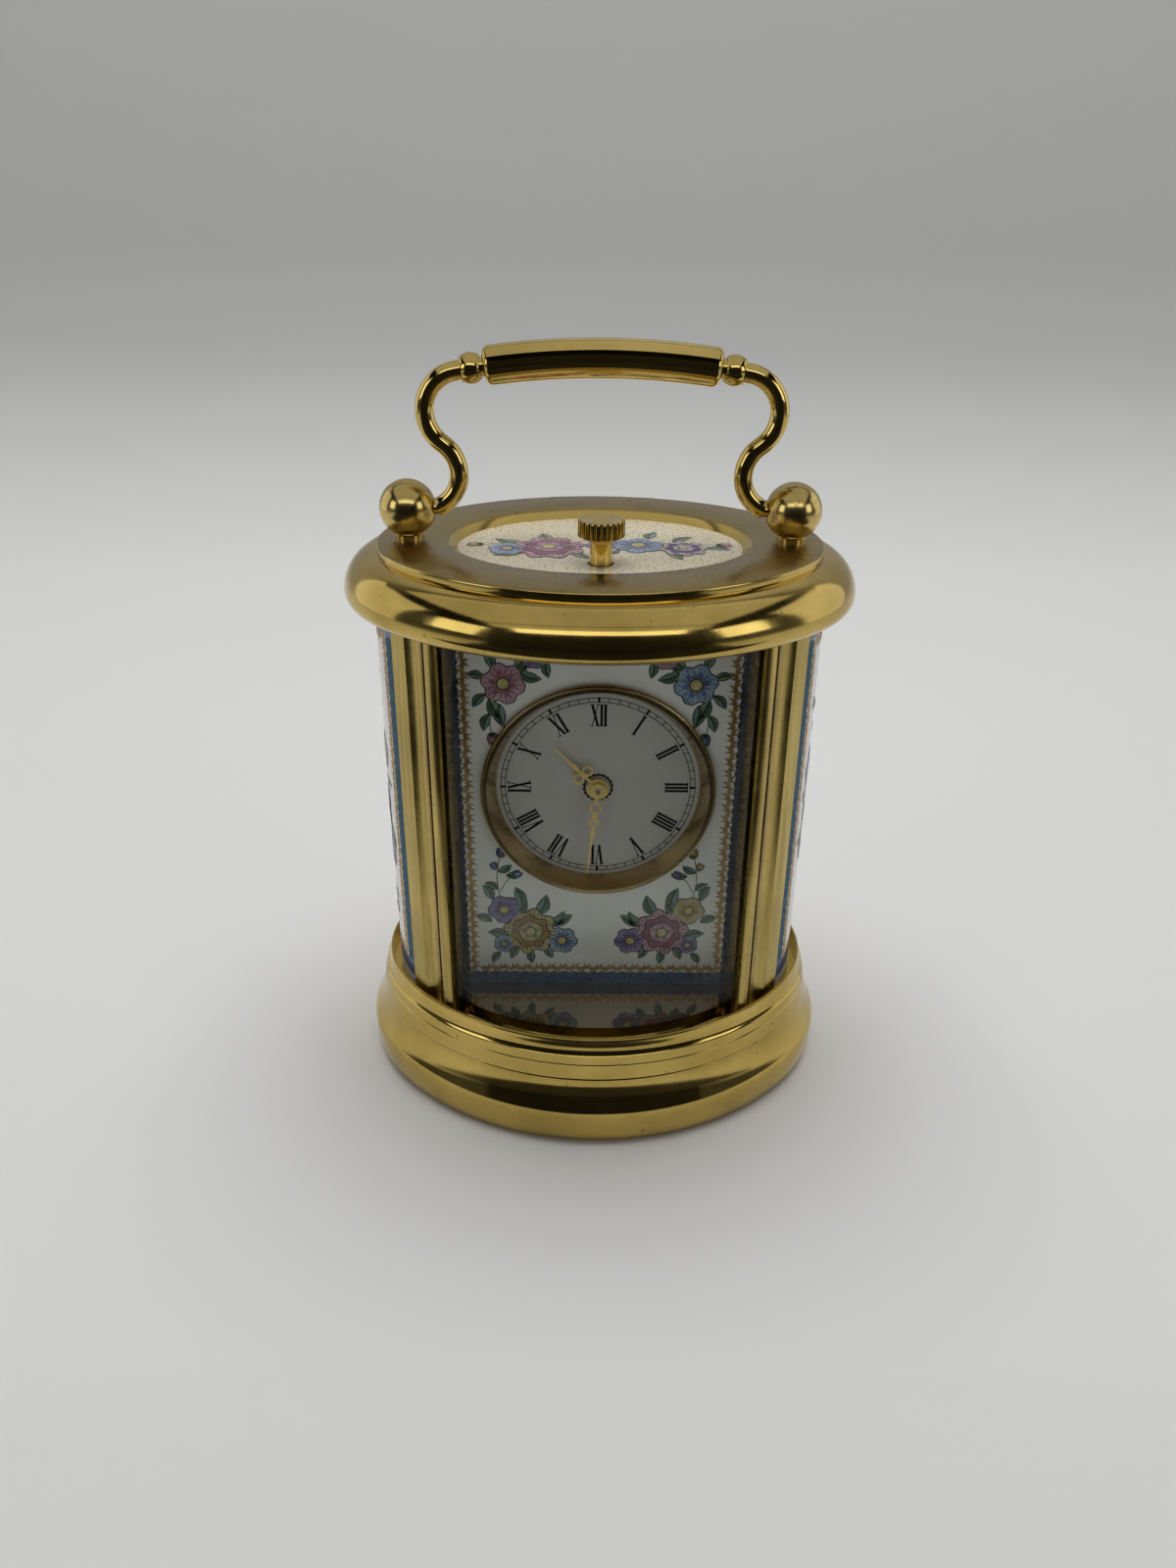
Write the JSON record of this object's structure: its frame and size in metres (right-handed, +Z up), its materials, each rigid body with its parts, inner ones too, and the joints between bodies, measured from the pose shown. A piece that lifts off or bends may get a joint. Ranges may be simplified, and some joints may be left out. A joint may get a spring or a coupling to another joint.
{
  "type": "pendulette clock",
  "caption": "Miniature oval brass carriage clock with enamel panels, curved glass, rear door, setting crown on the lid and a bail handle hinged in two balls.",
  "frame": {"origin": "middle of the underside of the base moulding", "axes": "+Z up, +X to the right seen from the front, +Y to the back; the dial faces -Y"},
  "size_m": [0.0636, 0.0516, 0.0958],
  "materials": {
    "case_brass": "polished, warm olive gold",
    "handle_brass": "polished",
    "bezel_brass": "polished",
    "hand_gilt": "gilt",
    "enamel": "fired white enamel with painted decoration",
    "dial_white": "silvery white",
    "glass": "clear",
    "steel": "satin",
    "battery_steel": "bright",
    "movement_plastic": "moulded"
  },
  "bodies": {
    "case": {"base_moulding": "case_brass", "base_plate": "case_brass", "base_plate_screws": "steel", "pillar_screws_lower": "steel", "floor_plate": "case_brass", "pillar_front_right": "case_brass", "pillar_front_left": "case_brass", "pillar_rear_right": "case_brass", "pillar_rear_left": "case_brass", "side_panel_right": "enamel", "side_panel_left": "enamel", "front_panel": "enamel", "front_glass": "glass", "lid_moulding": "case_brass", "ceiling_plate": "case_brass", "pillar_screws_upper": "steel", "top_plate": "case_brass", "top_plaque": "enamel", "plaque_retainer": "case_brass", "handle_post_right": "handle_brass", "handle_post_left": "handle_brass", "post_nuts": "steel", "dial_bezel": "bezel_brass", "dial": "dial_white", "bezel_ring": "bezel_brass", "movement_case": "movement_plastic", "movement_back": "steel", "battery": "battery_steel", "battery_clip": "steel"},
    "handle": {"handle_rod": "handle_brass", "handle_grip": "handle_brass", "handle_collar_right": "handle_brass", "handle_collar_left": "handle_brass"},
    "door": {"door_frame": "case_brass", "door_glass": "glass", "door_hinge_pins": "steel", "door_knob": "handle_brass"},
    "setting_works": {"setting_pinion": "bezel_brass"},
    "setting_crown": {"crown": "handle_brass", "crown_stem": "steel"},
    "minute_works": {"cannon_pinion": "steel", "minute_hand": "hand_gilt"},
    "minute_wheel_works": {"minute_wheel": "bezel_brass"},
    "hour_works": {"hour_wheel": "bezel_brass", "hour_hand": "hand_gilt"}
  },
  "joints": [
    {"name": "handle_hinge", "type": "hinge", "parent": "case", "child": "handle", "pos_m": [0, 0, 0.0765], "axis": [1, 0, 0], "range_deg": [-92, 92]},
    {"name": "door_hinge", "type": "hinge", "parent": "case", "child": "door", "pos_m": [0.01735, 0.01593, 0.0405], "axis": [0, 0, -1], "range_deg": [0, 100]},
    {"name": "crown_turn", "type": "hinge", "parent": "case", "child": "setting_works", "pos_m": [0, -0.007, 0.0525], "axis": [0, 0, 1], "continuous": true},
    {"name": "crown_pull", "type": "slide", "parent": "setting_works", "child": "setting_crown", "axis": [0, 0, 1], "range_m": [0, 0.0012]},
    {"name": "minute_turn", "type": "hinge", "parent": "case", "child": "minute_works", "pos_m": [0, -0.0085, 0.0441], "axis": [0, 1, 0], "continuous": true},
    {"name": "minute_wheel_turn", "type": "hinge", "parent": "case", "child": "minute_wheel_works", "pos_m": [0.003, -0.0085, 0.0441], "axis": [0, 1, 0], "continuous": true},
    {"name": "hour_turn", "type": "hinge", "parent": "case", "child": "hour_works", "pos_m": [0, -0.0085, 0.0441], "axis": [0, 1, 0], "continuous": true}
  ],
  "couplings": [
    {"joint": "minute_wheel_turn", "follows": "minute_turn", "ratio": -0.33333},
    {"joint": "hour_turn", "follows": "minute_turn", "ratio": 0.083333}
  ]
}
